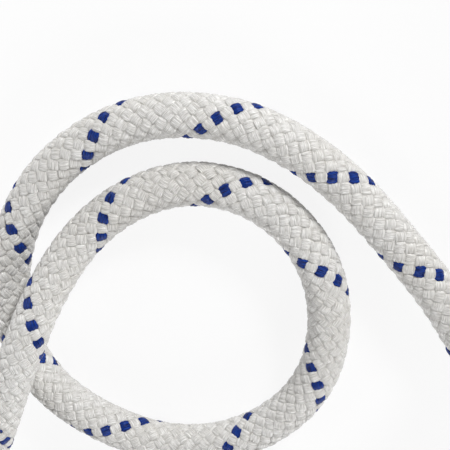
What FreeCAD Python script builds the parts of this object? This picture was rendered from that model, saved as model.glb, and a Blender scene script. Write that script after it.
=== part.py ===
"""A short length of dynamic climbing rope: a loose loop, and the rest of its length in a tied hank.

The rope has a woven sheath round a core of laid strands. Sizes are millimetres. +Z is up, and the
origin is at the middle of the bounding box, on the surface that the rope lies on.
"""
import math
import os

import FreeCAD
import Part

Vector = FreeCAD.Vector

DIMENSIONS = [
    ("rope_diameter", 10.5, "outer diameter of the sheath"),
    ("sheath_wall", 1.05, "thickness of the woven sheath"),
    ("core_gap", 0.1, "space between the sheath and the core bundle"),
    ("strand_diameter", 1.94, "one laid core strand"),
    ("inner_strands", 3, "core strands in the middle"),
    ("inner_offset", 1.14, "their distance from the rope's centre line"),
    ("outer_strands", 9, "core strands in the ring round them"),
    ("outer_offset", 3.15, "their distance from the rope's centre line"),
    ("marker_diameter", 0.6, "thin marker thread in the core"),
    ("marker_offset", 3.8, "its distance from the rope's centre line"),
    ("lay_x", -84.04, "moves the layout to the origin at the middle of its box"),
    ("lay_y", 29.56, "the same along Y"),
    ("hank_x", 120.0, "left ends of the hank's runs"),
    ("hank_y", -28.0, "long axis of the hank"),
    ("hank_layers", 4, "layers of loops in the hank"),
    ("hank_lanes", 3, "lanes on each side of a layer"),
    ("fold_offset", 57.0, "outermost lane, measured from the hank's axis"),
    ("lane_step", 11.4, "from one lane to the next"),
    ("layer_step", 11.5, "from one layer to the next"),
    ("run_length", 85.0, "length of the hank between its folds"),
    ("waist_draw", 5.0, "how far the tie draws each run inwards"),
    ("waist_lift", 2.4, "how far each run arches up over the tie"),
    ("flat_depth", 0.5, "depth of the flat that the lowest layer rests on"),
    ("end_run", 14.0, "straight end of the rope on top of the hank"),
    ("sleeve_length", 12.0, "shrink sleeve"),
    ("sleeve_wall", 0.45, "thickness of the shrink sleeve"),
    ("sleeve_gap", 0.04, "space between the sleeve and the sheath"),
    ("fused_length", 1.8, "melted end of the rope"),
    ("fused_round", 0.8, "rounding of the melted end"),
    ("strap_width", 20.0, "webbing of the tie strap"),
    ("strap_thick", 1.2, "thickness of the webbing"),
    ("strap_gap", 0.4, "space between the strap and the rope"),
    ("strap_corner", 5.0, "inner radius at the strap's corners"),
    ("lap_length", 62.0, "second layer of strap on top of the hank"),
    ("keeper_bar", 2.0, "thickness of the keeper's bars"),
    ("keeper_round", 1.2, "rounding of the keeper's outer corners"),
    ("keeper_length", 7.0, "length of the keeper along the strap"),
    ("keeper_gap", 0.3, "space between the keeper and the strap"),
]

# The rope's centre line from its tail to the hank, as chosen points at the heights where it lies.
# It crosses over itself between the third and the sixth point.
LOOP_ROUTE = [
    (-92.7, -85.3, 5.9),
    (-76.0, -77.5, 7.4),
    (-63.9, -64.0, 13.4),
    (-56.6, -48.0, 16.6),
    (-50.3, -32.5, 16.4),
    (-44.2, -17.6, 11.4),
    (-35.4, -4.4, 6.0),
    (-23.2, 5.6, 5.25),
    (-8.6, 10.4, 5.25),
    (5.8, 8.9, 5.25),
    (17.8, 1.4, 5.25),
    (25.2, -11.2, 5.25),
    (26.9, -26.5, 5.25),
    (22.8, -42.0, 5.25),
    (12.2, -55.0, 5.25),
    (-2.5, -63.0, 5.25),
    (-18.5, -65.3, 5.25),
    (-34.0, -60.7, 5.25),
    (-47.0, -50.6, 5.25),
    (-54.7, -36.5, 5.25),
    (-56.8, -20.5, 5.25),
    (-53.2, -4.5, 5.25),
    (-44.8, 10.6, 5.25),
    (-32.4, 22.2, 5.25),
    (-16.6, 26.7, 5.25),
    (0.3, 25.8, 5.25),
    (15.3, 20.5, 5.25),
    (28.0, 10.4, 5.25),
    (39.2, -2.4, 5.25),
    (47.6, -16.6, 5.25),
    (53.6, -31.0, 5.25),
    (59.6, -45.6, 5.25),
    (67.2, -59.4, 5.25),
    (78.3, -71.0, 5.25),
    (92.2, -80.0, 5.25),
    (107.5, -85.0, 5.25),
    (120.0, -85.0, 5.25),
]

FILLET_SHARE = 0.45
STRAIGHT_ANGLE = 1e-6
GAP_SAMPLE = 1.5
EDGE_WIDTH = 0.01


def fill_sheet(document):
    """Write the driving dimensions into a spreadsheet and return their values by name."""
    sheet = document.addObject("Spreadsheet::Sheet", "Dimensions")
    for row, (alias, value, note) in enumerate(DIMENSIONS, start=1):
        sheet.set("A%d" % row, note)
        sheet.set("B%d" % row, str(value))
        sheet.setAlias("B%d" % row, alias)
    document.recompute()
    return {alias: float(sheet.get(alias)) for alias, _, _ in DIMENSIONS}


def unit(vector):
    """The vector at length one."""
    return vector * (1.0 / vector.Length)


def arc_from(start, tangent, end):
    """An edge from start, leaving along the tangent, to end: an arc, or a line where it's straight."""
    chord = end - start
    along = unit(chord)
    side = tangent - along * tangent.dot(along)
    if side.Length < STRAIGHT_ANGLE:
        return Part.LineSegment(start, end).toShape()
    half_turn = math.asin(min(1.0, side.Length))
    middle = (start + end) * 0.5 + unit(side) * (chord.Length / 2.0 * math.tan(half_turn / 2.0))
    return Part.Arc(start, middle, end).toShape()


def biarc(start, start_tangent, end, end_tangent):
    """Two tangent arcs between two points with given directions."""
    chord = end - start
    both = start_tangent + end_tangent
    turn = 2.0 * (1.0 - start_tangent.dot(end_tangent))
    if turn < STRAIGHT_ANGLE:
        reach = chord.dot(chord) / (4.0 * chord.dot(end_tangent))
    else:
        root = math.sqrt(chord.dot(both) ** 2 + turn * chord.dot(chord))
        reach = (root - chord.dot(both)) / turn
    middle = (start + end + (start_tangent - end_tangent) * reach) * 0.5
    first = arc_from(start, start_tangent, middle)
    second = arc_from(middle, unit(middle - start - start_tangent * reach), end)
    return [first, second]


def rounded_route(points):
    """Straight runs joined by tangent arcs through a list of points, and the arcs' radii."""
    edges = []
    radii = []
    last = points[0]
    for before, corner, after in zip(points, points[1:], points[2:]):
        back = before - corner
        ahead = after - corner
        half_turn = (math.pi - back.getAngle(ahead)) / 2.0
        cut = FILLET_SHARE * min(back.Length, ahead.Length)
        radii.append(cut / math.tan(half_turn))
        arc_start = corner + unit(back) * cut
        arc_end = corner + unit(ahead) * cut
        middle = corner + unit(unit(back) + unit(ahead)) * (
            radii[-1] / math.cos(half_turn) - radii[-1])
        edges.append(Part.LineSegment(last, arc_start).toShape())
        edges.append(Part.Arc(arc_start, middle, arc_end).toShape())
        last = arc_end
    edges.append(Part.LineSegment(last, points[-1]).toShape())
    return edges, radii


def hank_runs(size):
    """Every straight run of the hank in winding order, as (lane offset, start height, end height).

    Offsets are signed distances from the hank's axis: negative on the side where the rope comes in.
    The loops spiral in on one layer and out on the next, and the run where the spiral turns back
    climbs to the next layer.
    """
    lanes = int(size["hank_lanes"])
    low = size["rope_diameter"] / 2.0 - size["flat_depth"]
    inward = [size["fold_offset"] - size["lane_step"] * turn / 2.0 for turn in range(2 * lanes)]
    offsets = list(inward)
    layers = [0] * len(inward)
    for layer in range(1, int(size["hank_layers"])):
        inward.reverse()
        offsets += inward[1:]
        layers += [layer] * (len(inward) - 1)
    runs = []
    for number, offset in enumerate(offsets):
        side = -1.0 if number % 2 == 0 else 1.0
        next_layer = layers[min(number + 1, len(layers) - 1)]
        start_height = low + layers[number] * size["layer_step"]
        end_height = low + next_layer * size["layer_step"]
        runs.append((side * offset, start_height, end_height))
    return runs


def hank_route(size, origin):
    """Edges of the hank's centre line: waisted runs of two curves each, joined by half turns."""
    runs = hank_runs(size)
    forward = Vector(1, 0, 0)
    length = size["run_length"]
    edges = []
    for number, (offset, start_height, end_height) in enumerate(runs):
        heading = forward if offset < 0 else forward * -1.0
        start_x = 0.0 if offset < 0 else length
        if number == 0:
            start_height = size["rope_diameter"] / 2.0
        start = origin + Vector(start_x, offset, start_height)
        end = origin + Vector(length - start_x, offset, end_height)
        draw = size["waist_draw"] * (1.0 if offset < 0 else -1.0)
        waist_height = (start_height + end_height) / 2.0 + size["waist_lift"]
        waist = origin + Vector(length / 2.0, offset + draw, waist_height)
        slope = (end_height - start_height) / length
        waist_heading = unit(heading + Vector(0, 0, slope))
        if number == 0:
            straight_end = start + heading * size["rope_diameter"]
            edges.append(Part.LineSegment(start, straight_end).toShape())
            start = straight_end
        edges += biarc(start, heading, waist, waist_heading)
        edges += biarc(waist, waist_heading, end, heading)
        if number == len(runs) - 1:
            tail = end + heading * size["end_run"]
            edges.append(Part.LineSegment(end, tail).toShape())
            break
        fold_end = origin + Vector(length - start_x, runs[number + 1][0], end_height)
        radius = abs(fold_end.y - end.y) / 2.0
        crown = (end + fold_end) * 0.5 + heading * radius
        edges.append(arc_from(end, heading, crown))
        edges.append(arc_from(crown, unit(fold_end - end), fold_end))
    return edges


def sampled(edges):
    """Points along a path, about evenly spaced, with their distance from its start."""
    points = []
    travelled = 0.0
    for edge in edges:
        count = max(2, int(edge.Length / GAP_SAMPLE))
        for index in range(count):
            place = edge.valueAt(edge.FirstParameter + (
                edge.LastParameter - edge.FirstParameter) * index / count)
            points.append((travelled + edge.Length * index / count, place))
        travelled += edge.Length
    return points


def least_gap(edges, diameter):
    """The least distance between a tube's own surfaces, away from its neighbouring stretch."""
    points = sampled(edges)
    least = 1e9
    cells = {}
    reach = 2.0 * diameter
    for place_along, place in points:
        key = (int(place.x // reach), int(place.y // reach), int(place.z // reach))
        cells.setdefault(key, []).append((place_along, place))
    for place_along, place in points:
        key = (int(place.x // reach), int(place.y // reach), int(place.z // reach))
        for step in range(27):
            near = (key[0] + step % 3 - 1, key[1] + step // 3 % 3 - 1, key[2] + step // 9 - 1)
            for other_along, other in cells.get(near, []):
                if other_along - place_along > math.pi * diameter:
                    least = min(least, place.distanceToPoint(other))
    return least - diameter


def path_frame(edge):
    """Start point, direction and two cross directions of a path's first edge."""
    start = edge.valueAt(edge.FirstParameter)
    direction = unit(edge.tangentAt(edge.FirstParameter))
    side = unit(direction.cross(Vector(0, 0, 1)))
    return start, direction, side, side.cross(direction)


def swept(edges, diameter, offset=0.0, angle=0.0):
    """A round solid along the path, its section moved off the centre line by offset at an angle."""
    start, direction, side, up = path_frame(edges[0])
    centre = start + side * (offset * math.cos(angle)) + up * (offset * math.sin(angle))
    circle = Part.Circle(centre, direction, diameter / 2.0).toShape()
    return Part.Wire(edges).makePipeShell([Part.Wire([circle])], True, False)


def report_volume(name, shape, section, length):
    """Print a swept solid's volume beside its section times its length."""
    print("%s: volume %.1f, section x length %.1f" % (name, shape.Volume, section * length))


def add_shape(document, name, shape):
    """A sub-part whose shape comes from a sweep."""
    feature = document.addObject("Part::Feature", name)
    feature.Label = name
    feature.Shape = shape
    return feature


def sheath(document, name, edges, size, rests_flat):
    """The woven sheath: a tube with its bore, cut flat underneath where the rope stands on it."""
    outer = size["rope_diameter"]
    inner = outer - 2.0 * size["sheath_wall"]
    shape = swept(edges, outer).cut(swept(edges, inner))
    length = sum(edge.Length for edge in edges)
    report_volume(name, shape, math.pi * (outer ** 2 - inner ** 2) / 4.0, length)
    if rests_flat:
        box = shape.BoundBox
        margin = outer
        under = Part.makeBox(
            box.XLength + 2.0 * margin, box.YLength + 2.0 * margin, margin,
            Vector(box.XMin - margin, box.YMin - margin, -margin))
        shape = shape.cut(under)
    solids = shape.Solids
    return add_shape(document, name, solids[0] if len(solids) == 1 else shape)


def core_strands(document, edges, size):
    """The laid strands of the core and the marker thread between them, side by side in the bore."""
    parts = []
    inner = int(size["inner_strands"])
    outer = int(size["outer_strands"])
    places = [(size["inner_offset"], 2.0 * math.pi * index / inner) for index in range(inner)]
    places += [(size["outer_offset"], 2.0 * math.pi * index / outer) for index in range(outer)]
    for number, (offset, angle) in enumerate(places, start=1):
        shape = swept(edges, size["strand_diameter"], offset, angle)
        parts.append(add_shape(document, "core_strand_%d" % number, shape))
    thread = swept(edges, size["marker_diameter"], size["marker_offset"], math.pi / outer)
    parts.append(add_shape(document, "core_marker_thread", thread))
    return parts


def core_bundle(document, edges, size):
    """The same core in the hank, as one round bundle."""
    diameter = size["rope_diameter"] - 2.0 * (size["sheath_wall"] + size["core_gap"])
    shape = swept(edges, diameter)
    length = sum(edge.Length for edge in edges)
    report_volume("core_hank", shape, math.pi * diameter ** 2 / 4.0, length)
    return add_shape(document, "core_hank", shape)


def cylinder(document, name, radius, height):
    """A cylinder whose radius and height are expressions of the sheet."""
    shape = document.addObject("Part::Cylinder", name)
    shape.setExpression("Radius", radius)
    shape.setExpression("Height", height)
    return shape


def cut(document, name, base, tool):
    """The base less the tool."""
    shape = document.addObject("Part::Cut", name)
    shape.Base = base
    shape.Tool = tool
    return shape


def stand_at(feature, place, direction):
    """Place a piece with its own +Z along a direction."""
    feature.Placement = FreeCAD.Placement(place, FreeCAD.Rotation(Vector(0, 0, 1), direction))


def rope_end(document, end_name, place, outward):
    """The shrink sleeve and the melted end on one end of the rope."""
    outer = cylinder(
        document, "sleeve_outside_" + end_name,
        "Dimensions.rope_diameter / 2 + Dimensions.sleeve_gap + Dimensions.sleeve_wall",
        "Dimensions.sleeve_length")
    bore = cylinder(
        document, "sleeve_bore_" + end_name,
        "Dimensions.rope_diameter / 2 + Dimensions.sleeve_gap", "Dimensions.sleeve_length")
    sleeve = cut(document, "end_sleeve_" + end_name, outer, bore)
    sleeve.Label = "end_sleeve_" + end_name
    stand_at(sleeve, place, outward * -1.0)
    blank = cylinder(
        document, "fused_blank_" + end_name, "Dimensions.rope_diameter / 2",
        "Dimensions.fused_length")
    document.recompute()
    fused = document.addObject("Part::Fillet", "fused_end_" + end_name)
    fused.Label = "fused_end_" + end_name
    fused.Base = blank
    rim = max(range(len(blank.Shape.Edges)), key=lambda index: blank.Shape.Edges[index].BoundBox.ZMin)
    rounding = float(document.Dimensions.get("fused_round"))
    fused.Edges = [(rim + 1, rounding, rounding)]
    stand_at(fused, place, outward)
    return [sleeve, fused]


def box(document, name, lengths, corner):
    """A box whose three lengths and lowest corner are expressions of the sheet."""
    shape = document.addObject("Part::Box", name)
    for prop, expression in zip(("Length", "Width", "Height"), lengths):
        shape.setExpression(prop, expression)
    for axis, expression in zip("xyz", corner):
        shape.setExpression("Placement.Base." + axis, expression)
    return shape


def rounded_box(document, name, blank, radius, keep):
    """A box with the edges that pass the test rounded."""
    document.recompute()
    feature = document.addObject("Part::Fillet", name)
    feature.Base = blank
    chosen = [index for index, edge in enumerate(blank.Shape.Edges, start=1) if keep(edge)]
    feature.Edges = [(index, radius, radius) for index in chosen]
    return feature


def runs_along_x(edge):
    """Whether an edge lies along X."""
    return edge.BoundBox.YLength < EDGE_WIDTH and edge.BoundBox.ZLength < EDGE_WIDTH


def runs_along_y(edge):
    """Whether an edge lies along Y."""
    return edge.BoundBox.XLength < EDGE_WIDTH and edge.BoundBox.ZLength < EDGE_WIDTH


def tie(document):
    """The strap round the hank's waist, lapped on top, and the keeper round the lap."""
    near = ("(Dimensions.fold_offset - Dimensions.waist_draw"
            " + Dimensions.rope_diameter / 2 + Dimensions.strap_gap)")
    far = "(%s - Dimensions.lane_step / 2)" % near
    left = "Dimensions.lay_x + Dimensions.hank_x + (Dimensions.run_length - Dimensions.strap_width) / 2"
    axis = "Dimensions.lay_y + Dimensions.hank_y"
    top = ("(Dimensions.rope_diameter - Dimensions.flat_depth + Dimensions.waist_lift"
           " + (Dimensions.hank_layers - 1) * Dimensions.layer_step + Dimensions.strap_gap)")
    thick = "Dimensions.strap_thick"
    hole = box(
        document, "strap_hole_blank",
        ("Dimensions.strap_width", "%s + %s" % (near, far), "%s - %s" % (top, thick)),
        (left, "%s - %s" % (axis, near), thick))
    around = box(
        document, "strap_outside_blank",
        ("Dimensions.strap_width", "%s + %s + 2 * %s" % (near, far, thick), "%s + %s" % (top, thick)),
        (left, "%s - %s - %s" % (axis, near, thick), "0"))
    corner = float(document.Dimensions.get("strap_corner"))
    web = float(document.Dimensions.get("strap_thick"))
    inside = rounded_box(document, "strap_hole", hole, corner, runs_along_x)
    outside = rounded_box(document, "strap_outside", around, corner + web, runs_along_x)
    loop = cut(document, "strap_loop", outside, inside)
    lap = box(
        document, "strap_lap",
        ("Dimensions.strap_width", "Dimensions.lap_length", thick),
        (left, "%s - Dimensions.lap_length / 2" % axis, "%s + %s" % (top, thick)))
    strap = document.addObject("Part::Fuse", "tie_strap")
    strap.Label = "tie_strap"
    strap.Base = loop
    strap.Tool = lap
    gap = "Dimensions.keeper_gap"
    bar = "Dimensions.keeper_bar"
    slot = box(
        document, "keeper_slot",
        ("Dimensions.strap_width + 2 * %s" % gap, "Dimensions.keeper_length",
         "2 * %s + 2 * %s" % (thick, gap)),
        ("%s - %s" % (left, gap), "%s - Dimensions.keeper_length / 2" % axis, "%s - %s" % (top, gap)))
    rim = box(
        document, "keeper_blank",
        ("Dimensions.strap_width + 2 * (%s + %s)" % (gap, bar), "Dimensions.keeper_length",
         "2 * (%s + %s + %s)" % (thick, gap, bar)),
        ("%s - %s - %s" % (left, gap, bar), "%s - Dimensions.keeper_length / 2" % axis,
         "%s - %s - %s" % (top, gap, bar)))
    rounding = float(document.Dimensions.get("keeper_round"))
    rounded = rounded_box(document, "keeper_outside", rim, rounding, runs_along_y)
    keeper = cut(document, "tie_keeper", rounded, slot)
    keeper.Label = "tie_keeper"
    return [strap, keeper]


def check(document):
    """Stop if any object failed, or its shape is missing or broken."""
    for item in document.Objects:
        if "Invalid" in item.State or "Error" in item.State:
            raise RuntimeError("%s failed: %s" % (item.Label, item.State))
        if hasattr(item, "Shape") and (item.Shape.isNull() or not item.Shape.isValid()):
            raise RuntimeError("%s has no valid shape" % item.Label)


def main():
    """Build the document, check it and write each sub-part."""
    document = FreeCAD.newDocument("climbing_rope")
    size = fill_sheet(document)
    lay = Vector(size["lay_x"], size["lay_y"], 0.0)

    loop_edges, radii = rounded_route([Vector(*point) + lay for point in LOOP_ROUTE])
    print("loop radii: " + ", ".join("%.1f" % radius for radius in radii))
    hank_edges = hank_route(size, lay + Vector(size["hank_x"], size["hank_y"], 0.0))
    print("hank's least gap to itself: %.2f" % least_gap(hank_edges, size["rope_diameter"]))
    print("whole rope's least gap: %.2f" % least_gap(loop_edges + hank_edges, size["rope_diameter"]))
    loop_length = sum(edge.Length for edge in loop_edges)
    hank_length = sum(edge.Length for edge in hank_edges)
    print("lengths: loop %.0f, hank %.0f" % (loop_length, hank_length))

    parts = [
        sheath(document, "sheath_loop", loop_edges, size, False),
        sheath(document, "sheath_hank", hank_edges, size, True),
        core_bundle(document, hank_edges, size),
    ]
    parts += core_strands(document, loop_edges, size)

    tail, tail_direction, _, _ = path_frame(loop_edges[0])
    parts += rope_end(document, "tail", tail, tail_direction * -1.0)
    last = hank_edges[-1]
    hank_end = last.valueAt(last.LastParameter)
    parts += rope_end(document, "hank", hank_end, unit(last.tangentAt(last.LastParameter)))
    parts += tie(document)

    document.recompute()
    check(document)
    whole = Part.makeCompound([part.Shape for part in parts]).BoundBox
    print("box: x %.2f to %.2f, y %.2f to %.2f, z %.2f to %.2f" % (
        whole.XMin, whole.XMax, whole.YMin, whole.YMax, whole.ZMin, whole.ZMax))

    os.makedirs("parts", exist_ok=True)
    for part in parts:
        part.Shape.exportStep("parts/%s.step" % part.Label)
    print("%d parts written" % len(parts))


main()
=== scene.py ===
"""A length of climbing rope as it looks: plaited sheath yarns, tied hank, sleeves and strap."""
import math

import bpy
import numpy as np
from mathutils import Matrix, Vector, noise


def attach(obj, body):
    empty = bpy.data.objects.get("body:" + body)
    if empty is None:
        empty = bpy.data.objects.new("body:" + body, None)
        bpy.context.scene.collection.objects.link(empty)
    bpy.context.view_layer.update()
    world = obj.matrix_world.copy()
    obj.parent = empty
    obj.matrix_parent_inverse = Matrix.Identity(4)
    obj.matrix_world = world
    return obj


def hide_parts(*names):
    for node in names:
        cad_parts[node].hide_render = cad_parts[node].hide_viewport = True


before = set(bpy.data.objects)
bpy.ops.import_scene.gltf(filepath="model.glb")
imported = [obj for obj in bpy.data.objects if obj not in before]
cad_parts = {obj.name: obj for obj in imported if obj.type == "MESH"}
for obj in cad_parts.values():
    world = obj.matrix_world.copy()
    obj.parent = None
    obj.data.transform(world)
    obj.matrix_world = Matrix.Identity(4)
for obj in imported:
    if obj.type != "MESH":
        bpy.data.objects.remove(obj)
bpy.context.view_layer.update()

MM = 0.001

# Sizes in millimetres, as in the frame
ROPE_RADIUS = 5.25
LAY = (-84.04, 29.56, 0.0)
HANK_START = (120.0, -28.0)
RUN_LENGTH = 85.0
FOLD_OFFSET = 57.0
LANE_STEP = 11.4
LAYER_STEP = 11.35
HANK_LAYERS = 4
HANK_LANES = 3
WAIST_DRAW = 5.0
WAIST_LIFT = 2.4
END_RUN = 14.0

# The rope's route from its tail to the hank, lying as in the photograph
LOOP_ROUTE = [
    (-92.7, -85.3, 5.9),
    (-76.0, -77.5, 7.4),
    (-63.9, -64.0, 13.4),
    (-56.6, -48.0, 16.6),
    (-50.3, -32.5, 16.4),
    (-44.2, -17.6, 11.4),
    (-35.5, -4.4, 6.0),
    (-23.1, 5.7, 5.25),
    (-8.7, 10.7, 5.25),
    (5.3, 8.7, 5.25),
    (16.2, 0.9, 5.25),
    (23.2, -11.3, 5.25),
    (24.7, -25.8, 5.25),
    (21.1, -41.0, 5.25),
    (11.5, -53.1, 5.25),
    (-2.6, -61.2, 5.25),
    (-18.1, -63.2, 5.25),
    (-33.7, -58.4, 5.25),
    (-47.2, -49.2, 5.25),
    (-54.6, -35.9, 5.25),
    (-56.2, -20.3, 5.25),
    (-52.6, -4.5, 5.25),
    (-43.9, 10.0, 5.25),
    (-30.2, 21.2, 5.25),
    (-14.4, 26.7, 5.25),
    (2.3, 26.1, 5.25),
    (16.8, 19.9, 5.25),
    (29.7, 9.3, 5.25),
    (41.0, -4.4, 5.25),
    (51.3, -17.9, 5.25),
    (58.5, -31.5, 5.25),
    (64.6, -45.6, 5.25),
    (71.5, -59.1, 5.25),
    (81.5, -70.7, 5.25),
    (94.1, -79.8, 5.25),
    (108.2, -84.9, 5.25),
    (120.0, -85.0, 5.25),
]

# Where the tracer comes round to the upper side, as distances along the rope, and how far the
# rope is twisted there, in radians
TRACER_STATIONS = [81.5, 115.0, 145.3, 173.9, 204.2, 235.1, 268.7, 299.9, 335.5, 368.4, 397.0,
                   424.8, 453.9]
ROPE_TWIST = [0.2, 0.1, 0.2, 0.1, -0.15, -0.2, -0.25, 0.15, -0.1, 0.1, 0.15, 0.25, 0.2]
PLAIT_PITCH = 30.0
CARRIERS_EACH_WAY = 8
CROSSINGS_PER_TURN = 2 * CARRIERS_EACH_WAY
UPPER_SIDE = np.array([0.185, 0.397, 0.899])
FACE_SPREAD = 0.12

YARN_HALF_WIDTH = 1.40
YARN_HALF_THICK = 0.60
YARN_RISE = 0.56
YARN_PLIES = 3
PLY_GROOVE = 0.2
CORE_RADIUS = 3.8
SPLINE_STEP = 2.5

# Ring spacing along the yarns, fine in the open stretch and six rings to a stitch in the hank
FINE_STEP = 0.34
COARSE_STEP = 0.625
YARN_INSET = 0.4
YARN_OVERLAP = 0.7

# How unevenly the yarns lie: wander in radians, dips in millimetres, the rest as shares of the size
WIDE_WANDER = 0.018
FINE_WANDER = 0.012
UNEVEN_DIP = 0.05
WIDTH_SWELL = 0.06
WIDTH_UNEVEN = 0.03
THICK_SWELL = 0.03

# The shrink sleeve and the melted end on each end of the rope
SLEEVE_LENGTH = 12.0
SLEEVE_RADIUS = 5.50
SLEEVE_HALF_WALL = 0.21
SLEEVE_RELIEF = 0.09
SLEEVE_EDGE = 0.1
SLEEVE_FADE = 1.2
MELTED_PROFILE = [(-0.4, 5.10), (0.0, 5.20), (0.6, 5.17), (1.05, 5.0), (1.35, 4.7), (1.52, 4.2),
                  (1.60, 3.5), (1.62, 2.7), (1.60, 1.8), (1.56, 0.9)]
MELTED_WAVE = 0.16

# The strap round the hank, its lap on top and the keeper round the lap
STRAP_X = 78.46
STRAP_HALF_WIDTH = 10.0
STRAP_HALF_THICK = 0.60
STRAP_LOW = (-56.69, 0.60)
STRAP_HIGH = (54.11, 47.90)
STRAP_CORNER = 5.6
LAP_MIDDLE = 1.56
LAP_HALF_LENGTH = 31.0
LAP_HEIGHT = 49.10
LAP_CORNER = 2.6
WARP_WIDTH = 1.54
WEFT_LENGTH = 2.9
WEAVE_RELIEF = 0.14
WEAVE_EDGE = 0.5
KEEPER_LOW = (67.16, 46.0)
KEEPER_HIGH = (89.76, 51.0)
KEEPER_CORNER = 1.3
KEEPER_HALF_LENGTH = 3.5
KEEPER_HALF_BAR = 1.0
KEEPER_GROOVES = (-1.5, 1.5)
KEEPER_GROOVE_DEPTH = 0.22
KEEPER_GROOVE_WIDTH = 0.32

# The stitches on the lap: each row's place along it and its shift, then the stitches' own sizes
STITCH_ROWS = [(-26.5, 0.0), (-23.0, 0.5), (-19.5, 0.0), (-16.0, 0.5)]
STITCHES_IN_ROW = 7
STITCH_STEP = 2.45
STITCH_SHIFT = 0.35
STITCH_MIDDLE = 3.65
STITCH_HALF_LENGTH = 0.98
STITCH_HEIGHT = 0.44
STITCH_ARCH = 0.30
STITCH_RADIUS = 0.24

# Camera, in the route's plan before LAY is added
CAMERA_PLACE = (42.94, 92.09, 213.58)
CAMERA_RIGHT = (0.98192, -0.03876, -0.18526)
CAMERA_UP = (-0.03876, 0.91687, -0.39730)
CAMERA_FOCAL_PX = 1000.0
PHOTO_WIDTH_PX = 450.0
SENSOR_MM = 36.0

# Light: the sky's strength, then each lamp's name, place and size in metres, and power in watts
SKY_STRENGTH = 0.72
LAMPS = [
    ("key_light", (0.55, 0.95, 0.50), 0.20, 13.0),
    ("near_light", (0.30, -1.05, 0.45), 0.45, 8.0),
    ("left_light", (-1.0, 0.05, 0.40), 0.80, 4.0),
]
FLOOR_GLOW = 0.88
FLOOR_SIZE = 6.0


def unit_rows(vectors):
    """Each row at length one."""
    return vectors / np.linalg.norm(vectors, axis=-1, keepdims=True)


def smooth_step(share):
    """An even rise from 0 to 1 that starts and ends level."""
    return share * share * (3.0 - 2.0 * share)


def hank_lanes():
    """The hank's runs in winding order: signed lane offset, start height and end height."""
    inward = [FOLD_OFFSET - LANE_STEP * turn / 2.0 for turn in range(2 * HANK_LANES)]
    offsets = list(inward)
    layers = [0] * len(inward)
    for layer in range(1, HANK_LAYERS):
        inward.reverse()
        offsets += inward[1:]
        layers += [layer] * (len(inward) - 1)
    layers.append(layers[-1])
    lanes = []
    for number, offset in enumerate(offsets):
        side = -1.0 if number % 2 == 0 else 1.0
        start_height = ROPE_RADIUS + LAYER_STEP * layers[number]
        end_height = ROPE_RADIUS + LAYER_STEP * layers[number + 1]
        lanes.append((side * offset, start_height, end_height))
    return lanes


def hank_points():
    """Control points of the hank: waisted runs joined by half turns."""
    points = []
    run_steps = 8
    fold_steps = 8
    # A spline of order 3 runs inside its points on a turn, so they stand this much further out
    outside = 1.0 / (0.75 + 0.25 * math.cos(math.pi / fold_steps))
    lanes = hank_lanes()
    for number, (offset, start_height, end_height) in enumerate(lanes):
        heading = 1.0 if offset < 0 else -1.0
        start_x = 0.0 if offset < 0 else RUN_LENGTH
        for step in range(1 if number == 0 else 0, run_steps + 1):
            share = step / run_steps
            waist = 0.5 - 0.5 * math.cos(2.0 * math.pi * share)
            height = start_height + (end_height - start_height) * smooth_step(share)
            points.append((
                start_x + heading * RUN_LENGTH * share,
                offset + heading * WAIST_DRAW * waist,
                height + WAIST_LIFT * waist))
        if number == len(lanes) - 1:
            break
        fold_x = start_x + heading * RUN_LENGTH
        next_offset = lanes[number + 1][0]
        middle = (offset + next_offset) / 2.0
        radius = abs(next_offset - offset) / 2.0 * outside
        for step in range(1, fold_steps):
            angle = math.pi * step / fold_steps
            points.append((
                fold_x + heading * radius * math.sin(angle),
                middle - heading * radius * math.cos(angle),
                end_height))
    points.append((RUN_LENGTH + END_RUN, lanes[-1][0], lanes[-1][2]))
    return [(x + HANK_START[0], y + HANK_START[1], z) for x, y, z in points]


def spline_points(points):
    """Points along the NURBS spline that has the given control points, all in metres."""
    curve = bpy.data.curves.new("route", "CURVE")
    curve.dimensions = "3D"
    curve.resolution_u = 10
    spline = curve.splines.new("NURBS")
    spline.points.add(len(points) - 1)
    for point, place in zip(spline.points, points):
        point.co = (*[(value + move) * MM for value, move in zip(place, LAY)], 1.0)
    spline.order_u = 3
    spline.use_endpoint_u = True
    holder = bpy.data.objects.new("route", curve)
    mesh = bpy.data.meshes.new_from_object(holder)
    line = np.array([vertex.co[:] for vertex in mesh.vertices])
    bpy.data.objects.remove(holder)
    bpy.data.curves.remove(curve)
    bpy.data.meshes.remove(mesh)
    return line


class Route:
    """The rope's centre line with its cross directions, by distance in millimetres."""

    def __init__(self, line):
        steps = np.linalg.norm(np.diff(line, axis=0), axis=1)
        keep = np.concatenate([[True], steps > 1e-7])
        self.line = line[keep] / MM
        gaps = np.linalg.norm(np.diff(self.line, axis=0), axis=1)
        self.along = np.concatenate([[0.0], np.cumsum(gaps)])
        self.length = self.along[-1]

    def at(self, distance):
        """Centres at the given distances."""
        return np.stack([np.interp(distance, self.along, self.line[:, k]) for k in range(3)], axis=1)

    def frames(self, distance):
        """Centres, the direction along the rope, the upper side and the cross direction."""
        # Half the stretch in millimetres over which the direction is taken
        reach = 0.6
        centres = self.at(distance)
        ahead = self.at(np.minimum(distance + reach, self.length))
        behind = self.at(np.maximum(distance - reach, 0.0))
        heading = unit_rows(ahead - behind)
        face = UPPER_SIDE / np.linalg.norm(UPPER_SIDE)
        upper = unit_rows(face[None] - heading * (heading @ face)[:, None])
        return centres, heading, upper, np.cross(heading, upper)

    def nearest(self, place):
        """Distance along the rope of its point nearest to a place."""
        return float(self.along[np.argmin(np.linalg.norm(self.line - np.array(place), axis=1))])


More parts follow.
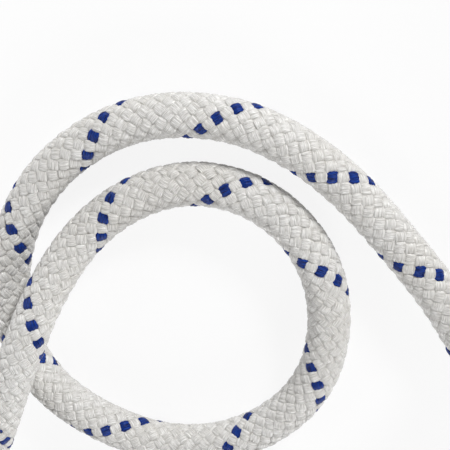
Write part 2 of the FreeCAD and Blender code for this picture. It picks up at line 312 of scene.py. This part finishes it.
class Sweep:
    """A surface swept along places, with an outline at each.

    across and out give the outline at each place, in millimetres along sideways and rise. A closed
    sweep joins its end to its start, and any other has a cap at each end. height is a value per
    place that a material may read: how high a yarn lies in the plait.
    """

    def __init__(self, places, heading, outwards, across, out, closed=False, height=None):
        rings, sides = across.shape
        sideways = unit_rows(np.cross(heading, outwards))
        rise = np.cross(sideways, heading)
        self.vertices = (places[:, None] + sideways[:, None] * across[..., None]
                         + rise[:, None] * out[..., None]).reshape(-1, 3)
        spans = rings if closed else rings - 1
        here = np.arange(sides)[None]
        after = (here + 1) % sides
        start = (np.arange(spans) * sides)[:, None]
        ahead = ((np.arange(spans) + 1) % rings * sides)[:, None]
        self.quads = np.stack([start + here, ahead + here, ahead + after, start + after],
                              axis=-1).reshape(-1, 4)
        following = np.roll(places, -1, axis=0)[:spans]
        lengths = np.concatenate([[0.0], np.cumsum(np.linalg.norm(following - places[:spans], axis=1))])
        here_u = np.broadcast_to(here / sides, (spans, sides))
        next_u = here_u + 1.0 / sides
        low_v = np.broadcast_to(lengths[:-1, None], (spans, sides))
        high_v = np.broadcast_to(lengths[1:, None], (spans, sides))
        self.corners = np.stack([
            np.stack([here_u, low_v], axis=-1),
            np.stack([here_u, high_v], axis=-1),
            np.stack([next_u, high_v], axis=-1),
            np.stack([next_u, low_v], axis=-1)], axis=2).reshape(-1, 2)
        self.caps = []
        if not closed:
            self.caps.append(list(range(sides)))
            self.caps.append(list(range((rings - 1) * sides, rings * sides))[::-1])
        values = np.ones(rings) if height is None else height
        self.height = np.repeat(values, sides)


def mesh_piece(name, vertices, faces, material):
    """A smooth-shaded mesh object from vertices in millimetres."""
    mesh = bpy.data.meshes.new(name)
    mesh.from_pydata((vertices * MM).tolist(), [], faces)
    mesh.polygons.foreach_set("use_smooth", [True] * len(mesh.polygons))
    mesh.update()
    piece = bpy.data.objects.new(name, mesh)
    bpy.context.scene.collection.objects.link(piece)
    piece.data.materials.append(material)
    return piece


def swept_piece(name, sweeps, material):
    """One mesh object of several sweeps, with their surface coordinates and heights."""
    faces = []
    corners = []
    base = 0
    for sweep in sweeps:
        faces += (sweep.quads + base).tolist()
        corners.append(sweep.corners)
        for cap in sweep.caps:
            faces.append([index + base for index in cap])
            corners.append(np.zeros((len(cap), 2)))
        base += len(sweep.vertices)
    vertices = np.concatenate([sweep.vertices for sweep in sweeps])
    piece = mesh_piece(name, vertices, faces, material)
    layer = piece.data.uv_layers.new(name="along_yarn")
    layer.data.foreach_set("uv", np.concatenate(corners).astype(np.float32).ravel())
    heights = piece.data.attributes.new(name="height", type="FLOAT", domain="POINT")
    values = np.concatenate([sweep.height for sweep in sweeps])
    heights.data.foreach_set("value", values.astype(np.float32))
    return piece


def plait_turns(distance):
    """Turns of the tracer round the rope at the given distances."""
    first = TRACER_STATIONS[0]
    last = TRACER_STATIONS[-1]
    count = len(TRACER_STATIONS)
    inside = np.interp(distance, TRACER_STATIONS, np.arange(count))
    before = (distance - first) / PLAIT_PITCH
    after = count - 1 + (distance - last) / PLAIT_PITCH
    return np.where(distance < first, before, np.where(distance > last, after, inside))


def yarn_outline(upper_points, groove):
    """The yarn's cross-section as rows of (across, out): plies side by side, keeled underneath."""
    across = np.linspace(1.0, -1.0, upper_points)
    out = (1.0 - np.abs(across) ** 2.6) ** 0.55
    plies = 0.5 + 0.5 * np.cos(across * math.pi * YARN_PLIES + math.pi * (YARN_PLIES + 1))
    out = out * (1.0 - groove * (1.0 - plies))
    if groove > 0.0:
        lower = [(-0.7, -0.75), (0.0, -1.0), (0.7, -0.75)]
    else:
        lower = [(0.0, -1.0)]
    return np.concatenate([np.stack([across, out], axis=1), np.array(lower)])


def carrier(route, way, number, distance, outline):
    """One yarn of the plait. It goes over one yarn of the other way and under the next.

    way is -1 for the tracer's way round and 1 for the other.
    """
    turns = plait_turns(distance)
    twist = np.interp(distance, TRACER_STATIONS, ROPE_TWIST)
    phase = 2.4 * number + 1.3 * way
    wander = (WIDE_WANDER * np.sin(0.83 * distance + phase)
              + FINE_WANDER * np.sin(2.17 * distance + 2.0 * phase))
    angle = 2.0 * math.pi * (way * turns + number / CARRIERS_EACH_WAY) + twist + wander
    angle = angle - FACE_SPREAD * np.sin(angle)
    # 1 where the yarn lies over another, -1 where it lies under
    swing = np.cos(math.pi * CROSSINGS_PER_TURN * turns) * -way
    swing = swing * (1.5 - 0.5 * swing ** 2)
    centres, heading, upper, cross = route.frames(distance)
    outwards = upper * np.cos(angle)[:, None] + cross * np.sin(angle)[:, None]
    middle_radius = ROPE_RADIUS - YARN_HALF_THICK - YARN_RISE
    uneven = UNEVEN_DIP * (1.0 + np.sin(1.31 * distance + 3.0 * phase))
    lift = YARN_RISE * swing - uneven * np.clip(swing, 0.0, 1.0)
    places = centres + outwards * (middle_radius + lift)[:, None]
    way_on = unit_rows(np.gradient(places, axis=0))
    width = YARN_HALF_WIDTH * (1.0 + WIDTH_SWELL * swing + WIDTH_UNEVEN * np.sin(1.9 * distance + phase))
    thick = YARN_HALF_THICK * (1.0 + THICK_SWELL * swing)
    return Sweep(places, way_on, outwards, outline[None, :, 0] * width[:, None],
                 outline[None, :, 1] * thick[:, None], height=0.5 + 0.5 * swing)


def core_tube(route, name, material):
    """The core's outside, which shows between the yarns."""
    sides = 16
    distance = np.linspace(0.0, route.length, int(route.length / SPLINE_STEP))
    centres, heading, upper, cross = route.frames(distance)
    angles = 2.0 * math.pi * np.arange(sides) / sides
    across = np.broadcast_to(CORE_RADIUS * np.cos(angles), (len(distance), sides))
    out = np.broadcast_to(CORE_RADIUS * np.sin(angles), (len(distance), sides))
    return swept_piece(name, [Sweep(centres, heading, upper, across, out)], material)


def shrink_sleeve(route, name, middle, material):
    """A shrunk tube round the rope's end, with the plait showing through as low bumps."""
    rings = 120
    top_points = 41
    centre, heading, upper, cross = [rows[0] for rows in route.frames(np.array([middle]))]
    angles = 2.0 * math.pi * np.arange(rings) / rings
    outwards = upper * np.cos(angles)[:, None] + cross * np.sin(angles)[:, None]
    tangents = -upper * np.sin(angles)[:, None] + cross * np.cos(angles)[:, None]
    places = centre + outwards * SLEEVE_RADIUS
    half = SLEEVE_LENGTH / 2.0
    flat = half - SLEEVE_EDGE
    top = np.linspace(flat, -flat, top_points)
    along = np.concatenate([[half], top, [-half, -half, -flat, flat, half]])
    level = np.concatenate([[SLEEVE_EDGE], np.full(top_points, SLEEVE_HALF_WALL),
                            [SLEEVE_EDGE, -SLEEVE_EDGE, -SLEEVE_HALF_WALL, -SLEEVE_HALF_WALL,
                             -SLEEVE_EDGE]])
    turn = 2.0 * math.pi * along / PLAIT_PITCH
    left = np.cos(CARRIERS_EACH_WAY * (angles[:, None] + turn[None]))
    right = np.cos(CARRIERS_EACH_WAY * (angles[:, None] - turn[None]))
    bump = 0.5 + 0.5 * left * right
    fade = np.clip((half - np.abs(along)) / SLEEVE_FADE, 0.0, 1.0)
    out = level[None] + SLEEVE_RELIEF * bump * fade[None] * (level[None] > 0.0)
    across = np.broadcast_to(along, out.shape)
    return swept_piece(name, [Sweep(places, tangents, outwards, across, out, closed=True)], material)


def melted_end(route, name, at_start, material):
    """The rope's end face, melted into a low uneven dome with a rounded rim."""
    sides = 64
    where = np.array([0.0 if at_start else route.length])
    centre, heading, upper, cross = [rows[0] for rows in route.frames(where)]
    outward = -heading if at_start else heading
    side = np.cross(upper, outward)
    angles = 2.0 * math.pi * np.arange(sides) / sides
    vertices = []
    for proud, radius in MELTED_PROFILE:
        for angle in angles:
            ripple = noise.noise(Vector((radius * math.cos(angle) * 0.55, radius * math.sin(angle) * 0.55,
                                         3.0 if at_start else 8.0)))
            wave = MELTED_WAVE * ripple if proud > 0.0 else 0.0
            reach = radius * (1.0 + 0.25 * wave)
            vertices.append(centre + outward * (proud + wave)
                            + upper * reach * math.cos(angle) + side * reach * math.sin(angle))
    faces = []
    for ring in range(len(MELTED_PROFILE) - 1):
        for index in range(sides):
            after = (index + 1) % sides
            faces.append([ring * sides + index, (ring + 1) * sides + index,
                          (ring + 1) * sides + after, ring * sides + after])
    last = (len(MELTED_PROFILE) - 1) * sides
    vertices.append(centre + outward * MELTED_PROFILE[-1][0])
    for index in range(sides):
        faces.append([last + index, len(vertices) - 1, last + (index + 1) % sides])
    faces.append(list(range(sides)))
    return mesh_piece(name, np.array(vertices), faces, material)


def rounded_loop(low, high, corner, step):
    """Points round a rectangle with round corners, with their directions and outward sides."""
    points = []
    outs = []
    centres = [(high[0] - corner, high[1] - corner), (low[0] + corner, high[1] - corner),
               (low[0] + corner, low[1] + corner), (high[0] - corner, low[1] + corner)]
    for quarter, (x, y) in enumerate(centres):
        start = math.pi / 2.0 * quarter
        turns = max(6, int(corner * math.pi / 2.0 / step))
        for angle in np.linspace(start, start + math.pi / 2.0, turns):
            outs.append((math.cos(angle), math.sin(angle)))
            points.append((x + corner * math.cos(angle), y + corner * math.sin(angle)))
        following = centres[(quarter + 1) % 4]
        run = math.dist((x, y), following)
        for share in np.arange(1, int(run / step)) / int(run / step):
            middle = np.array([x, y]) * (1.0 - share) + np.array(following) * share
            outs.append(outs[-1])
            points.append((middle[0] + corner * outs[-1][0], middle[1] + corner * outs[-1][1]))
    points = np.array(points)
    outs = np.array(outs)
    ways = np.stack([-outs[:, 1], outs[:, 0]], axis=1)
    return points, ways, outs


def weave_outline(along, ends):
    """Outlines of webbing at distances along it: warp ribs on top that dip at each weft thread.

    ends is the share of the full width at each distance.
    """
    top_points = 66
    across = np.linspace(STRAP_HALF_WIDTH, -STRAP_HALF_WIDTH, top_points)
    column = np.floor((across + STRAP_HALF_WIDTH) / WARP_WIDTH)
    inside = (across + STRAP_HALF_WIDTH) / WARP_WIDTH - column - 0.5
    shift = 0.5 * (column % 2)
    beat = along[:, None] / WEFT_LENGTH + shift[None]
    beat = beat - np.floor(beat) - 0.5
    rib = np.sqrt(np.clip(1.0 - (2.0 * inside[None]) ** 2, 0.0, 1.0))
    float_over = np.clip(1.0 - (2.0 * np.abs(beat)) ** 3, 0.0, 1.0)
    edge = np.clip((STRAP_HALF_WIDTH - np.abs(across)) / WEAVE_EDGE, 0.0, 1.0) ** 0.5
    top = STRAP_HALF_THICK * (0.35 + 0.65 * edge)[None] - WEAVE_RELIEF * (1.0 - rib * float_over)
    lower = np.array([-STRAP_HALF_WIDTH, -STRAP_HALF_WIDTH + 0.4, 0.0,
                      STRAP_HALF_WIDTH - 0.4, STRAP_HALF_WIDTH])
    lower_level = np.array([-0.25, -STRAP_HALF_THICK, -STRAP_HALF_THICK, -STRAP_HALF_THICK, -0.25])
    across_all = np.concatenate([across, lower])[None] * ends[:, None]
    out_all = np.concatenate([top, np.broadcast_to(lower_level, (len(along), 5))], axis=1)
    return across_all, out_all


def strap_pieces(material, thread):
    """The strap's loop round the hank, the lap on top of it and the stitches that join them."""
    points, ways, outs = rounded_loop(STRAP_LOW, STRAP_HIGH, STRAP_CORNER, 0.5)
    flat = np.full(len(points), STRAP_X)
    places = np.stack([flat, points[:, 0], points[:, 1]], axis=1)
    heading = np.stack([0.0 * flat, ways[:, 0], ways[:, 1]], axis=1)
    outwards = np.stack([0.0 * flat, outs[:, 0], outs[:, 1]], axis=1)
    gaps = np.linalg.norm(np.diff(places, axis=0), axis=1)
    along = np.concatenate([[0.0], np.cumsum(gaps)])
    whole = along[-1] + np.linalg.norm(places[0] - places[-1])
    along = along * (round(whole / WEFT_LENGTH) * WEFT_LENGTH / whole)
    across, out = weave_outline(along, np.ones(len(along)))
    loop = Sweep(places, heading, outwards, across, out, closed=True)
    reach = np.arange(-LAP_HALF_LENGTH, LAP_HALF_LENGTH + 0.01, 0.5)
    from_end = LAP_HALF_LENGTH - np.abs(reach)
    cut_in = np.clip(1.0 - from_end / LAP_CORNER, 0.0, 1.0)
    width = 1.0 - LAP_CORNER / STRAP_HALF_WIDTH * (1.0 - np.sqrt(1.0 - cut_in ** 2))
    places = np.stack([np.full(len(reach), STRAP_X), LAP_MIDDLE + reach,
                       np.full(len(reach), LAP_HEIGHT)], axis=1)
    across, out = weave_outline(reach + LAP_HALF_LENGTH, width)
    out = np.where(out < 0.0, out * 0.96, out)
    ahead = np.tile(np.array([0.0, 1.0, 0.0]), (len(reach), 1))
    above = np.tile(np.array([0.0, 0.0, 1.0]), (len(reach), 1))
    lap = Sweep(places, ahead, above, across, out)
    webbing_piece = swept_piece("tie_strap_webbing", [loop, lap], material)
    stitches = []
    section = 2.0 * math.pi * np.arange(8) / 8
    share = np.linspace(-1.0, 1.0, 9)
    thick = STITCH_RADIUS * np.sqrt(1.0 - 0.6 * share ** 2)
    upward = np.tile(np.array([0.0, 0.0, 1.0]), (len(share), 1))
    for row, offset in STITCH_ROWS:
        for number in range(STITCHES_IN_ROW):
            middle = (number + 0.5 + STITCH_SHIFT * offset - STITCH_MIDDLE) * STITCH_STEP
            places = np.stack([STRAP_X + middle + STITCH_HALF_LENGTH * share,
                               np.full(len(share), LAP_MIDDLE + row),
                               LAP_HEIGHT + STITCH_HEIGHT + STITCH_ARCH * (1.0 - share ** 2)], axis=1)
            heading = unit_rows(np.gradient(places, axis=0))
            stitches.append(Sweep(places, heading, upward,
                                  thick[:, None] * np.cos(section)[None],
                                  thick[:, None] * np.sin(section)[None]))
    return webbing_piece, swept_piece("tie_strap_stitches", stitches, thread)


def keeper_piece(material):
    """A moulded plastic ring round both layers of the strap, with two shallow grooves outside."""
    points, ways, outs = rounded_loop(KEEPER_LOW, KEEPER_HIGH, KEEPER_CORNER, 0.35)
    flat = np.full(len(points), LAP_MIDDLE)
    places = np.stack([points[:, 0], flat, points[:, 1]], axis=1)
    heading = np.stack([ways[:, 0], 0.0 * flat, ways[:, 1]], axis=1)
    outwards = np.stack([outs[:, 0], 0.0 * flat, outs[:, 1]], axis=1)
    angles = 2.0 * math.pi * np.arange(72) / 72
    across = KEEPER_HALF_LENGTH * np.sign(np.cos(angles)) * np.abs(np.cos(angles)) ** 0.42
    out = KEEPER_HALF_BAR * np.sign(np.sin(angles)) * np.abs(np.sin(angles)) ** 0.3
    for groove in KEEPER_GROOVES:
        dip = KEEPER_GROOVE_DEPTH * np.exp(-((across - groove) / KEEPER_GROOVE_WIDTH) ** 2)
        out = out - np.where(out > 0.0, dip, 0.0)
    shape = (len(points), len(angles))
    return swept_piece("tie_keeper_slide", [Sweep(
        places, heading, outwards, np.broadcast_to(across, shape), np.broadcast_to(out, shape),
        closed=True)], material)


class Nodes:
    """A material's node tree with short helpers."""

    def __init__(self, name):
        self.material = bpy.data.materials.new(name)
        self.material.use_nodes = True
        self.tree = self.material.node_tree
        self.shader = self.tree.nodes["Principled BSDF"]
        self.output = self.tree.nodes["Material Output"]

    def add(self, kind, **settings):
        """A node with its properties or default inputs set."""
        node = self.tree.nodes.new(kind)
        for key, value in settings.items():
            if hasattr(node, key):
                setattr(node, key, value)
            else:
                node.inputs[key.replace("_", " ").title()].default_value = value
        return node

    def link(self, source, target):
        """Join an output to an input."""
        self.tree.links.new(source, target)

    def ramp(self, source, stops):
        """A colour ramp over (position, colour) stops."""
        node = self.add("ShaderNodeValToRGB")
        elements = node.color_ramp.elements
        while len(elements) < len(stops):
            elements.new(0.5)
        for element, (position, color) in zip(elements, stops):
            element.position = position
            element.color = (*color, 1.0)
        self.link(source, node.inputs["Fac"])
        return node.outputs["Color"]

    def product(self, first, second):
        """Two colours multiplied."""
        node = self.add("ShaderNodeMix", data_type="RGBA", blend_type="MULTIPLY")
        node.inputs[0].default_value = 1.0
        self.link(first, node.inputs[6])
        self.link(second, node.inputs[7])
        return node.outputs[2]

    def bump(self, source, strength, distance, below=None):
        """A bump from a height, over another bump where one is given."""
        node = self.add("ShaderNodeBump")
        node.inputs["Strength"].default_value = strength
        node.inputs["Distance"].default_value = distance
        self.link(source, node.inputs["Height"])
        if below is not None:
            self.link(below, node.inputs["Normal"])
        return node.outputs["Normal"]

    def surface_noise(self, scale, detail, stretch=None):
        """Noise in object space, or along the yarns where stretch gives its scale there."""
        node = self.add("ShaderNodeTexNoise", scale=scale, detail=detail, roughness=0.6)
        if stretch is None:
            place = self.add("ShaderNodeTexCoord")
            self.link(place.outputs["Object"], node.inputs["Vector"])
        else:
            place = self.add("ShaderNodeUVMap", uv_map="along_yarn")
            mapping = self.add("ShaderNodeMapping")
            mapping.inputs["Scale"].default_value = stretch
            self.link(place.outputs["UV"], mapping.inputs["Vector"])
            self.link(mapping.outputs["Vector"], node.inputs["Vector"])
        return node.outputs["Fac"]


def yarn_material(name, dark, light, crease_shade_colour, roughness, specular, sheen):
    """Shiny multifilament yarn: fine lines along it, with painted shade where it dives under another."""
    nodes = Nodes(name)
    lines = nodes.surface_noise(1.0, 3.0, (30.0, 0.5, 1.0))
    colour = nodes.ramp(lines, [(0.40, dark), (0.60, light)])
    # Painted shade: the colour darkens towards the crease colour where the yarn lies low in the plait,
    # under a crossing yarn, and is lightest where it lies on top
    height = nodes.add("ShaderNodeAttribute", attribute_name="height")
    painted_shade = nodes.ramp(height.outputs["Fac"], [(0.15, crease_shade_colour), (0.62, (0.90, 0.89, 0.87)),
                                               (0.95, (1.0, 1.0, 1.0))])
    cloud = nodes.surface_noise(55.0, 2.0)
    patches = nodes.ramp(cloud, [(0.3, (0.93, 0.92, 0.90)), (0.7, (1.0, 1.0, 1.0))])
    nodes.link(nodes.product(nodes.product(colour, painted_shade), patches), nodes.shader.inputs["Base Color"])
    nodes.link(nodes.bump(lines, 0.8, 0.0003), nodes.shader.inputs["Normal"])
    nodes.shader.inputs["Roughness"].default_value = roughness
    nodes.shader.inputs["Specular IOR Level"].default_value = specular
    nodes.shader.inputs["Sheen Weight"].default_value = sheen
    nodes.shader.inputs["Sheen Roughness"].default_value = 0.35
    return nodes.material


def grained_material(name, dark, light, roughness, scale, strength, sheen=0.0):
    """A plastic or fibre surface with a fine uneven grain and slow changes of tone."""
    nodes = Nodes(name)
    grain = nodes.surface_noise(scale, 4.0)
    colour = nodes.ramp(grain, [(0.3, dark), (0.7, light)])
    cloud = nodes.surface_noise(scale * 0.08, 2.0)
    patches = nodes.ramp(cloud, [(0.3, (0.82, 0.82, 0.82)), (0.7, (1.0, 1.0, 1.0))])
    nodes.link(nodes.product(colour, patches), nodes.shader.inputs["Base Color"])
    nodes.link(nodes.bump(grain, strength, 0.0003), nodes.shader.inputs["Normal"])
    span = nodes.add("ShaderNodeMapRange")
    span.inputs["To Min"].default_value = roughness - 0.08
    span.inputs["To Max"].default_value = roughness + 0.08
    nodes.link(cloud, span.inputs["Value"])
    nodes.link(span.outputs["Result"], nodes.shader.inputs["Roughness"])
    nodes.shader.inputs["Sheen Weight"].default_value = sheen
    return nodes.material


def melted_material():
    """Set polyamide: cream with brown singed patches and a smear of the tracer's blue."""
    nodes = Nodes("melted_polyamide")
    patches = nodes.surface_noise(420.0, 4.0)
    colour = nodes.ramp(patches, [(0.30, (0.20, 0.13, 0.07)), (0.42, (0.50, 0.44, 0.34)),
                                  (0.62, (0.66, 0.62, 0.53)), (0.74, (0.10, 0.14, 0.36))])
    nodes.link(colour, nodes.shader.inputs["Base Color"])
    fine = nodes.surface_noise(1500.0, 3.0)
    nodes.link(nodes.bump(fine, 0.35, 0.0003), nodes.shader.inputs["Normal"])
    nodes.shader.inputs["Roughness"].default_value = 0.3
    return nodes.material


def floor_material():
    """A pale floor that the camera and reflections see as nearly white, with a faint shadow."""
    nodes = Nodes("floor_white")
    nodes.shader.inputs["Base Color"].default_value = (0.93, 0.93, 0.93, 1.0)
    nodes.shader.inputs["Roughness"].default_value = 0.9
    nodes.shader.inputs["Specular IOR Level"].default_value = 0.0
    glow = nodes.add("ShaderNodeEmission")
    glow.inputs["Color"].default_value = (1.0, 1.0, 1.0, 1.0)
    glow.inputs["Strength"].default_value = 1.0
    share = nodes.add("ShaderNodeMath", operation="MULTIPLY")
    share.inputs[1].default_value = FLOOR_GLOW
    nodes.link(seen_directly(nodes), share.inputs[0])
    mix = nodes.add("ShaderNodeMixShader")
    nodes.link(share.outputs[0], mix.inputs[0])
    nodes.link(nodes.shader.outputs["BSDF"], mix.inputs[1])
    nodes.link(glow.outputs["Emission"], mix.inputs[2])
    nodes.link(mix.outputs["Shader"], nodes.output.inputs["Surface"])
    return nodes.material


def seen_directly(nodes):
    """1 for rays from the camera, reflections and transmission, 0 for light on surfaces."""
    path = nodes.add("ShaderNodeLightPath")
    first = nodes.add("ShaderNodeMath", operation="MAXIMUM")
    nodes.link(path.outputs["Is Camera Ray"], first.inputs[0])
    nodes.link(path.outputs["Is Glossy Ray"], first.inputs[1])
    second = nodes.add("ShaderNodeMath", operation="MAXIMUM")
    nodes.link(first.outputs[0], second.inputs[0])
    nodes.link(path.outputs["Is Transmission Ray"], second.inputs[1])
    return second.outputs[0]


class WorldNodes(Nodes):
    """The world's node tree with the same helpers."""

    def __init__(self, world):
        world.use_nodes = True
        self.tree = world.node_tree
        self.shader = self.tree.nodes["Background"]
        self.output = self.tree.nodes["World Output"]


def make_world():
    """Soft sky light, strongest near the horizon. In direct view and in reflections it is white."""
    world = bpy.data.worlds.new("studio")
    bpy.context.scene.world = world
    nodes = WorldNodes(world)
    place = nodes.add("ShaderNodeTexCoord")
    parts = nodes.add("ShaderNodeSeparateXYZ")
    nodes.link(place.outputs["Generated"], parts.inputs[0])
    sky = nodes.ramp(parts.outputs["Z"], [(0.0, (1.0, 1.0, 1.0)), (0.35, (0.60, 0.60, 0.61)),
                                          (0.9, (0.20, 0.20, 0.205))])
    nodes.link(sky, nodes.shader.inputs["Color"])
    nodes.shader.inputs["Strength"].default_value = SKY_STRENGTH
    backdrop = nodes.add("ShaderNodeBackground")
    backdrop.inputs["Color"].default_value = (1.0, 1.0, 1.0, 1.0)
    backdrop.inputs["Strength"].default_value = 1.0
    mix = nodes.add("ShaderNodeMixShader")
    nodes.link(seen_directly(nodes), mix.inputs[0])
    nodes.link(nodes.shader.outputs["Background"], mix.inputs[1])
    nodes.link(backdrop.outputs["Background"], mix.inputs[2])
    nodes.link(mix.outputs["Shader"], nodes.output.inputs["Surface"])


def make_camera():
    """The photograph's camera."""
    right = np.array(CAMERA_RIGHT)
    up = np.array(CAMERA_UP)
    back = np.cross(right, up)
    camera = bpy.data.cameras.new("camera")
    camera.sensor_width = SENSOR_MM
    camera.sensor_fit = "HORIZONTAL"
    camera.lens = CAMERA_FOCAL_PX * SENSOR_MM / PHOTO_WIDTH_PX
    camera.clip_start = 0.01
    holder = bpy.data.objects.new("camera", camera)
    bpy.context.scene.collection.objects.link(holder)
    place = (np.array(CAMERA_PLACE) + np.array(LAY)) * MM
    rows = []
    for index in range(3):
        rows.append((right[index], up[index], back[index], place[index]))
    rows.append((0.0, 0.0, 0.0, 1.0))
    holder.matrix_world = [list(column) for column in zip(*rows)]
    bpy.context.scene.camera = holder


def area_light(name, place, size, power):
    """A square soft light that faces the middle of the frame."""
    lamp = bpy.data.lights.new(name, "AREA")
    lamp.size = size
    lamp.energy = power
    holder = bpy.data.objects.new(name, lamp)
    bpy.context.scene.collection.objects.link(holder)
    holder.location = place
    holder.rotation_euler = Vector([-value for value in place]).to_track_quat("-Z", "Y").to_euler()


# The third colour of each yarn is its painted shade where it dives under another
white_yarn = yarn_material("white_yarn", (0.50, 0.485, 0.46), (0.84, 0.835, 0.82), (0.16, 0.145, 0.12),
                           roughness=0.22, specular=0.8, sheen=0.4)
blue_yarn = yarn_material("blue_yarn", (0.0, 0.002, 0.035), (0.003, 0.045, 0.33), (0.30, 0.30, 0.30),
                          roughness=0.20, specular=0.15, sheen=0.0)
# The core's beige is partly its own colour and partly painted shade: it is kept dark to stand for the
# shade in the gaps between the sheath yarns
core_yarn = grained_material("core_yarn", (0.26, 0.235, 0.20), (0.40, 0.37, 0.32), 0.7, 900.0, 0.4)
sleeve_plastic = grained_material("sleeve_plastic", (0.022, 0.022, 0.025), (0.034, 0.034, 0.038),
                                  0.42, 900.0, 0.2)
melted_plastic = melted_material()
webbing = grained_material("webbing", (0.018, 0.019, 0.022), (0.045, 0.047, 0.053), 0.72, 2600.0, 0.7,
                           sheen=0.35)
thread = grained_material("strap_thread", (0.05, 0.052, 0.058), (0.09, 0.092, 0.10), 0.55, 3000.0, 0.5,
                          sheen=0.2)
keeper_plastic = grained_material("keeper_plastic", (0.020, 0.020, 0.023), (0.030, 0.030, 0.034), 0.36,
                                  2200.0, 0.25)

route = Route(spline_points(LOOP_ROUTE + hank_points()))
loop_end = route.nearest(np.array(LOOP_ROUTE[-1]) + np.array(LAY))
print("rope length %.1f, loop %.1f" % (route.length, loop_end))

core = core_tube(route, "rope_core", core_yarn)
fine_rings = np.arange(YARN_INSET, loop_end + FINE_STEP, FINE_STEP)
coarse_rings = np.arange(TRACER_STATIONS[-1], route.length - YARN_INSET, COARSE_STEP)
coarse_rings = coarse_rings[coarse_rings > loop_end - YARN_OVERLAP]
spans = [("loop", fine_rings, yarn_outline(16, PLY_GROOVE), 3),
         ("hank", coarse_rings, yarn_outline(5, 0.0), 2)]
yarn_pieces = []
for span, rings, outline, group in spans:
    white = []
    for way in (-1, 1):
        for number in range(CARRIERS_EACH_WAY):
            yarn = carrier(route, way, number, rings, outline)
            if way == -1 and number == 0:
                yarn_pieces.append(swept_piece("tracer_yarn_" + span, [yarn], blue_yarn))
            else:
                white.append(yarn)
    for first in range(0, len(white), group):
        name = "sheath_yarns_%s_%d" % (span, first // group + 1)
        yarn_pieces.append(swept_piece(name, white[first:first + group], white_yarn))

sleeve_tail = shrink_sleeve(route, "sleeve_on_tail", SLEEVE_LENGTH / 2.0, sleeve_plastic)
sleeve_hank = shrink_sleeve(route, "sleeve_on_hank_end", route.length - SLEEVE_LENGTH / 2.0,
                            sleeve_plastic)
melted_tail = melted_end(route, "melted_tail", True, melted_plastic)
melted_hank = melted_end(route, "melted_hank_end", False, melted_plastic)
strap, stitches = strap_pieces(webbing, thread)
keeper = keeper_piece(keeper_plastic)

sheath_and_core = [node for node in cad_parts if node.startswith(("core_", "sheath_"))]
for piece, slot, nodes in ((core, "core_yarn", sheath_and_core),
                           (sleeve_tail, "shrink_sleeve", ["end_sleeve_tail"]),
                           (sleeve_hank, "shrink_sleeve", ["end_sleeve_hank"]),
                           (melted_tail, "fused_end", ["fused_end_tail"]),
                           (melted_hank, "fused_end", ["fused_end_hank"]),
                           (strap, "strap_webbing", ["tie_strap"]),
                           (stitches, "strap_webbing", []),
                           (keeper, "keeper_plastic", ["tie_keeper"])):
    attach(piece, "root")
    if nodes:
        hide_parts(*nodes)
for piece in yarn_pieces:
    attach(piece, "root")

bpy.ops.mesh.primitive_plane_add(size=FLOOR_SIZE, location=(0.0, 0.0, 0.0))
ground = bpy.context.object
ground.name = "ground"
ground.data.materials.append(floor_material())

make_camera()
make_world()
for name, place, size, power in LAMPS:
    area_light(name, place, size, power)
bpy.context.scene.view_settings.view_transform = "Standard"
